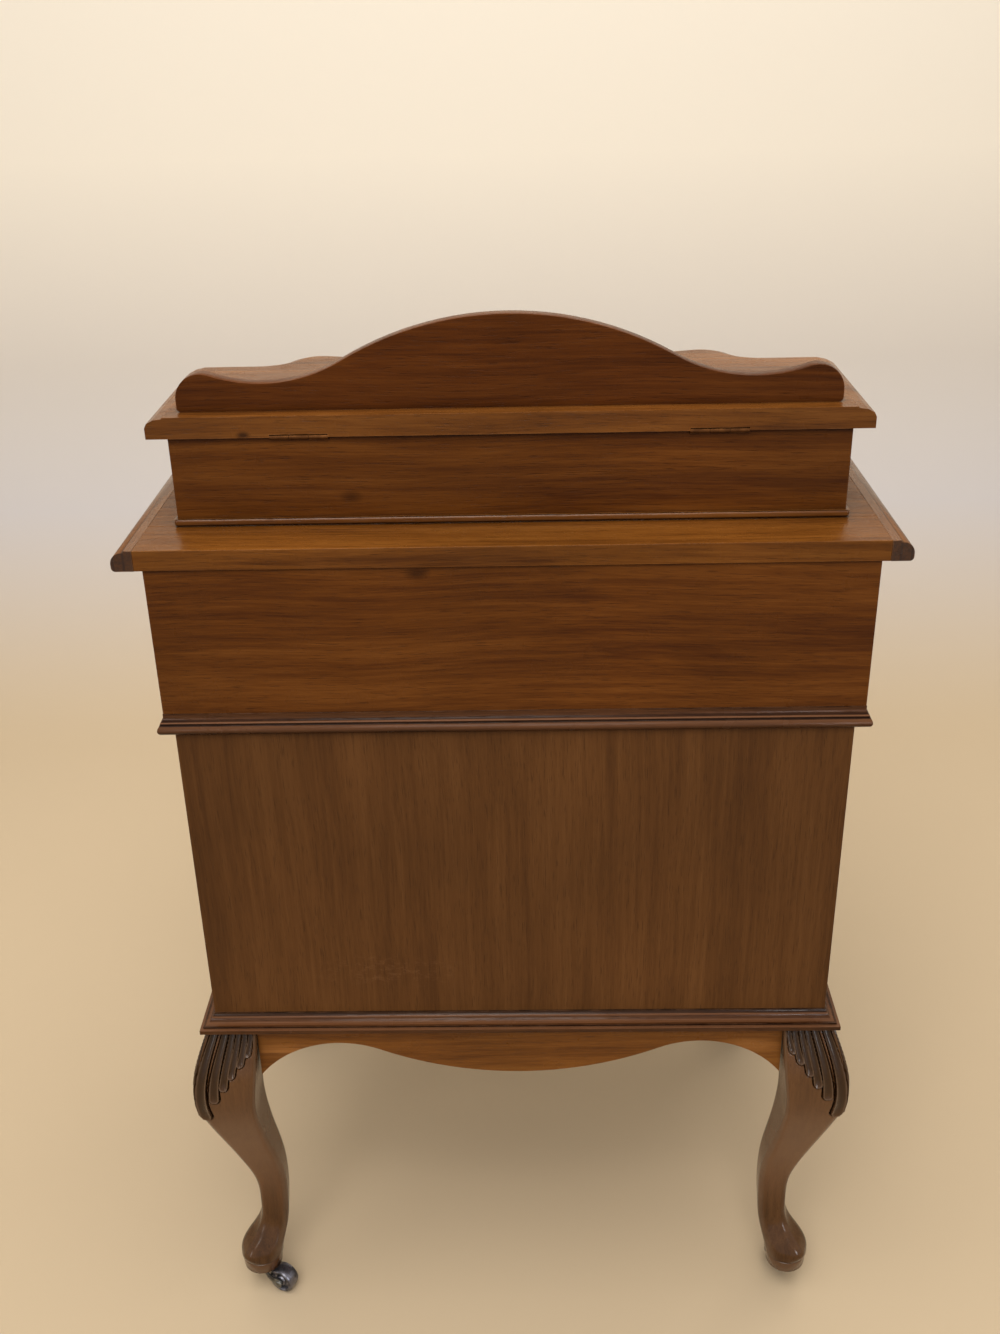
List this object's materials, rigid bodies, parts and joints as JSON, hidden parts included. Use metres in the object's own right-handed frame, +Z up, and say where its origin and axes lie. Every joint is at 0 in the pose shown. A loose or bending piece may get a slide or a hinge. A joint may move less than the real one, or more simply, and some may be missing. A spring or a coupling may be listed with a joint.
{
  "type": "davenport desk",
  "caption": "Walnut davenport writing desk with a sloping leather-lined lid, a lidded stationery box with a shaped gallery, side drawers and carved cabriole legs on castors.",
  "frame": {"origin": "centre of the floor area under the desk, on the floor", "axes": "+Z up, +Y towards the back that the picture shows, -Y towards the sitter, +X to the sitter's right, where the drawers open"},
  "size_m": [0.568, 0.5449, 0.8946],
  "materials": {
    "stand_walnut": "French-polished walnut",
    "moulding_walnut": "French-polished walnut, darker in the quirks",
    "carcass_walnut": "waxed walnut, upright grain, slightly matt",
    "desk_walnut": "French-polished walnut, level grain",
    "top_walnut": "French-polished walnut",
    "lid_walnut": "French-polished walnut",
    "drawer_walnut": "French-polished walnut veneer",
    "drawer_lining": "unpolished pale hardwood",
    "knob_walnut": "turned and polished walnut",
    "writing_leather": "tooled writing skiver",
    "aged_brass": "dulled brass",
    "castor_metal": "worn grey metal",
    "castor_wheel": "dark and polished by wear"
  },
  "bodies": {
    "carcass": {"apron_back": "stand_walnut", "apron_front": "stand_walnut", "apron_left": "stand_walnut", "apron_right": "stand_walnut", "base_moulding": "moulding_walnut", "bracket_left": "stand_walnut", "bracket_right": "stand_walnut", "carcass_back": "carcass_walnut", "carcass_bottom": "carcass_walnut", "carcass_front": "carcass_walnut", "carcass_side_left": "carcass_walnut", "castor_stems": "castor_metal", "desk_back": "desk_walnut", "desk_floor": "desk_walnut", "desk_front": "desk_walnut", "desk_side_left": "desk_walnut", "desk_side_right": "desk_walnut", "desk_top_edges": "moulding_walnut", "desk_top_front_board": "top_walnut", "desk_top_rear_board": "top_walnut", "dust_boards": "drawer_lining", "false_drawer_fronts": "drawer_walnut", "false_drawer_knobs": "knob_walnut", "hinge_fixed_leaves": "aged_brass", "hinge_pins": "aged_brass", "leg_back_left": "stand_walnut", "leg_back_right": "stand_walnut", "leg_front_left": "stand_walnut", "leg_front_right": "stand_walnut", "stationery_back": "desk_walnut", "stationery_bead": "moulding_walnut", "stationery_dividers": "drawer_lining", "stationery_front": "desk_walnut", "stationery_side_left": "desk_walnut", "stationery_side_right": "desk_walnut", "waist_moulding": "moulding_walnut"},
    "drawer_top": {"drawer_top_front": "drawer_walnut", "drawer_top_box": "drawer_lining", "drawer_top_knobs": "knob_walnut"},
    "drawer_middle": {"drawer_middle_front": "drawer_walnut", "drawer_middle_box": "drawer_lining", "drawer_middle_knobs": "knob_walnut"},
    "drawer_bottom": {"drawer_bottom_front": "drawer_walnut", "drawer_bottom_box": "drawer_lining", "drawer_bottom_knobs": "knob_walnut"},
    "writing_lid": {"writing_lid": "top_walnut", "writing_lid_edges": "moulding_walnut", "writing_leather": "writing_leather", "writing_hinge_leaves": "aged_brass"},
    "stationery_lid": {"stationery_lid": "lid_walnut", "gallery_rail": "lid_walnut", "stationery_hinge_leaves": "aged_brass"},
    "castor_back_right": {"castor_fork_back_right": "castor_metal"},
    "wheel_back_right": {"castor_wheel_back_right": "castor_wheel"},
    "castor_back_left": {"castor_fork_back_left": "castor_metal"},
    "wheel_back_left": {"castor_wheel_back_left": "castor_wheel"},
    "castor_front_right": {"castor_fork_front_right": "castor_metal"},
    "wheel_front_right": {"castor_wheel_front_right": "castor_wheel"},
    "castor_front_left": {"castor_fork_front_left": "castor_metal"},
    "wheel_front_left": {"castor_wheel_front_left": "castor_wheel"}
  },
  "joints": [
    {"name": "drawer_top_slide", "type": "slide", "parent": "carcass", "child": "drawer_top", "axis": [1, 0, 0], "range_m": [0, 0.32]},
    {"name": "drawer_middle_slide", "type": "slide", "parent": "carcass", "child": "drawer_middle", "axis": [1, 0, 0], "range_m": [0, 0.32]},
    {"name": "drawer_bottom_slide", "type": "slide", "parent": "carcass", "child": "drawer_bottom", "axis": [1, 0, 0], "range_m": [0, 0.32]},
    {"name": "writing_lid_hinge", "type": "hinge", "parent": "carcass", "child": "writing_lid", "pos_m": [0, -0.01215, 0.7455], "axis": [-1, 0, 0], "range_deg": [0, 105]},
    {"name": "stationery_lid_hinge", "type": "hinge", "parent": "carcass", "child": "stationery_lid", "pos_m": [0, 0.204, 0.81265], "axis": [-1, 0, 0], "range_deg": [0, 95]},
    {"name": "castor_back_right_swivel", "type": "hinge", "parent": "carcass", "child": "castor_back_right", "pos_m": [0.245, 0.2395, 0.0246], "axis": [0, 0, 1], "continuous": true},
    {"name": "wheel_back_right_spin", "type": "hinge", "parent": "castor_back_right", "child": "wheel_back_right", "pos_m": [0.2254, 0.24949, 0.0125], "axis": [-0.454, -0.891, 0], "continuous": true},
    {"name": "castor_back_left_swivel", "type": "hinge", "parent": "carcass", "child": "castor_back_left", "pos_m": [-0.245, 0.2395, 0.0246], "axis": [0, 0, 1], "continuous": true},
    {"name": "wheel_back_left_spin", "type": "hinge", "parent": "castor_back_left", "child": "wheel_back_left", "pos_m": [-0.24118, 0.21783, 0.0125], "axis": [0.9848, 0.1736, 0], "continuous": true},
    {"name": "castor_front_right_swivel", "type": "hinge", "parent": "carcass", "child": "castor_front_right", "pos_m": [0.245, -0.0995, 0.0246], "axis": [0, 0, 1], "continuous": true},
    {"name": "wheel_front_right_spin", "type": "hinge", "parent": "castor_front_right", "child": "wheel_front_right", "pos_m": [0.25533, -0.11892, 0.0125], "axis": [0.8829, 0.4695, 0], "continuous": true},
    {"name": "castor_front_left_swivel", "type": "hinge", "parent": "carcass", "child": "castor_front_left", "pos_m": [-0.245, -0.0995, 0.0246], "axis": [0, 0, 1], "continuous": true},
    {"name": "wheel_front_left_spin", "type": "hinge", "parent": "castor_front_left", "child": "wheel_front_left", "pos_m": [-0.25533, -0.11892, 0.0125], "axis": [0.8829, -0.4695, 0], "continuous": true}
  ]
}
